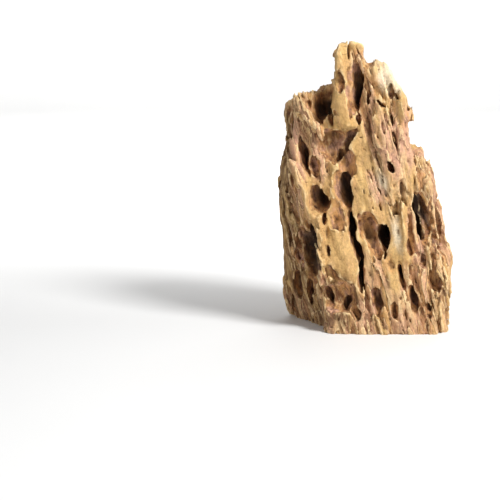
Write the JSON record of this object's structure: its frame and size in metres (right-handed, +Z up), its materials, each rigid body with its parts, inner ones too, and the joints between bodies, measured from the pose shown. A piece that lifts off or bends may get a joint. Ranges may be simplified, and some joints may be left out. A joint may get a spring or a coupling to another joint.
{
  "type": "dragon stone",
  "caption": "Tall upright block of tan claystone with a notched peak, eaten through by long slanting pits and ridges, that stands on its flat foot",
  "frame": {"origin": "on the surface that the stone stands on, inside its foot, below the middle of its height", "axes": "+Z up along the stone's height, +X to the right as the pitted front is seen, +Y from the front to the back"},
  "size_m": [0.1531, 0.1131, 0.2492],
  "materials": {
    "claystone": "dry and matt"
  },
  "bodies": {
    "root": {"dragon_stone": "claystone"}
  },
  "joints": []
}
